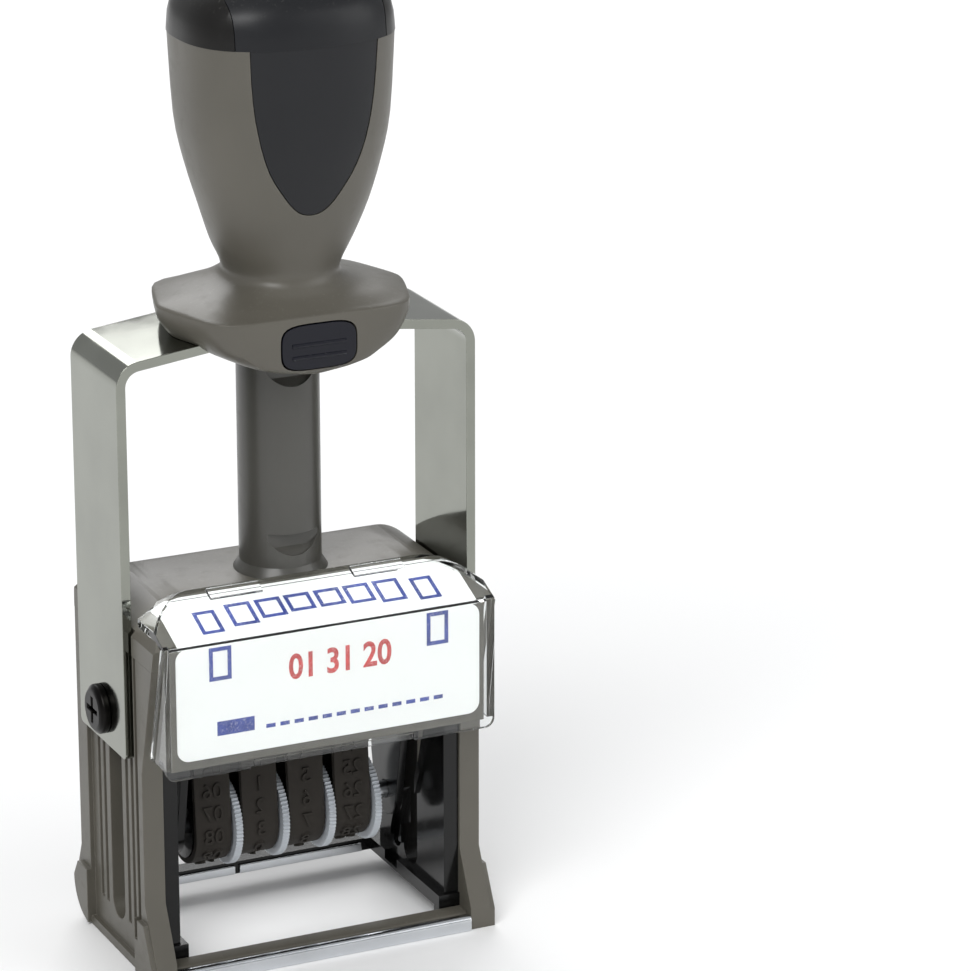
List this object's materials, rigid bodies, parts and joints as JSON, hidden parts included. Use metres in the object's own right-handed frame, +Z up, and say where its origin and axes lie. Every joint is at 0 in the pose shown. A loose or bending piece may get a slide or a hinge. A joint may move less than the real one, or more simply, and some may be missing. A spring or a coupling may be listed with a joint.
{
  "type": "self-inking line dater",
  "caption": "Heavy-duty self-inking line dater: steel bail, round column, flip-over platen with setting wheels, ink pad drawer, clear card window and shaped grip.",
  "frame": {"origin": "on the desk plane, under the middle of the object's box", "axes": "+Z up along the column, +X to the right seen from the card window, -Y towards the card window"},
  "size_m": [0.0656, 0.0398, 0.1636],
  "materials": {
    "taupe": "moulded, fine satin grain",
    "column_taupe": "moulded, smooth satin",
    "carrier": "smooth",
    "gloss_black": "gloss",
    "tray_black": "satin",
    "cap_black": "satin",
    "shield_satin": "satin",
    "button_navy": "satin",
    "bail_chrome": "polished",
    "chrome_trim": "polished",
    "screw_steel": "plain",
    "screw_black": "blackened",
    "spring_steel": "plain",
    "clear": "clear polished plastic",
    "card": "smooth printed card",
    "ink_felt": "ink-soaked felt",
    "text_rubber": "fine",
    "band_rubber": "fine",
    "wheel_grey": "moulded"
  },
  "bodies": {
    "housing": {"side_frame_left": "taupe", "side_frame_right": "taupe", "top_cover": "taupe", "rear_panel": "taupe", "card_carrier": "carrier", "cam_plate_left": "gloss_black", "cam_plate_right": "gloss_black", "base_frame": "gloss_black", "front_sill": "taupe", "front_trim": "chrome_trim", "rear_trims": "chrome_trim", "base_screws": "screw_steel", "column": "column_taupe", "column_screws": "screw_steel", "index_card": "card", "return_spring": "spring_steel"},
    "window_cover": {"window": "clear"},
    "pad_drawer": {"pad_tray": "tray_black", "ink_pad": "ink_felt"},
    "press_handle": {"bail": "bail_chrome", "pivot_screws": "screw_black", "grip": "taupe", "grip_cap": "cap_black", "shield_insert": "shield_satin", "bail_screws": "screw_steel", "button_spring": "spring_steel"},
    "lock": {"lock_button": "button_navy", "latch_plate": "spring_steel"},
    "platen": {"platen_plate_left": "gloss_black", "platen_plate_right": "gloss_black", "die_plate": "gloss_black", "text_rubber": "text_rubber", "band_bridge": "gloss_black", "wheel_axle": "screw_steel", "follower_pins": "screw_steel", "date_band_1": "band_rubber", "date_band_2": "band_rubber", "date_band_3": "band_rubber", "date_band_4": "band_rubber"},
    "setting_wheel_1": {"date_wheel_1": "wheel_grey"},
    "setting_wheel_2": {"date_wheel_2": "wheel_grey"},
    "setting_wheel_3": {"date_wheel_3": "wheel_grey"},
    "setting_wheel_4": {"date_wheel_4": "wheel_grey"}
  },
  "joints": [
    {"name": "press", "type": "slide", "parent": "housing", "child": "press_handle", "axis": [0, 0, -1], "range_m": [0, 0.0345], "stiffness_N_per_m": 350, "springref_m": -0.02, "deforming": ["return_spring"]},
    {"name": "flip", "type": "hinge", "parent": "press_handle", "child": "platen", "pos_m": [0, 0.00235, 0.0426], "axis": [1, 0, 0], "range_deg": [0, 180]},
    {"name": "lock_push", "type": "slide", "parent": "press_handle", "child": "lock", "axis": [0, 1, 0], "range_m": [0, 0.0018], "stiffness_N_per_m": 600, "springref_m": -0.0012},
    {"name": "pad_slide", "type": "slide", "parent": "housing", "child": "pad_drawer", "axis": [0, 1, 0], "range_m": [0, 0.03]},
    {"name": "window_pull", "type": "slide", "parent": "housing", "child": "window_cover", "axis": [0, -1, 0], "range_m": [0, 0.012]},
    {"name": "wheel_1", "type": "hinge", "parent": "platen", "child": "setting_wheel_1", "pos_m": [0, 0.00235, 0.0198], "axis": [1, 0, 0], "continuous": true},
    {"name": "wheel_2", "type": "hinge", "parent": "platen", "child": "setting_wheel_2", "pos_m": [0, 0.00235, 0.0198], "axis": [1, 0, 0], "continuous": true},
    {"name": "wheel_3", "type": "hinge", "parent": "platen", "child": "setting_wheel_3", "pos_m": [0, 0.00235, 0.0198], "axis": [1, 0, 0], "continuous": true},
    {"name": "wheel_4", "type": "hinge", "parent": "platen", "child": "setting_wheel_4", "pos_m": [0, 0.00235, 0.0198], "axis": [1, 0, 0], "continuous": true}
  ],
  "couplings": [
    {"joint": "flip", "follows": "press", "rad_per_m": 91.06}
  ]
}
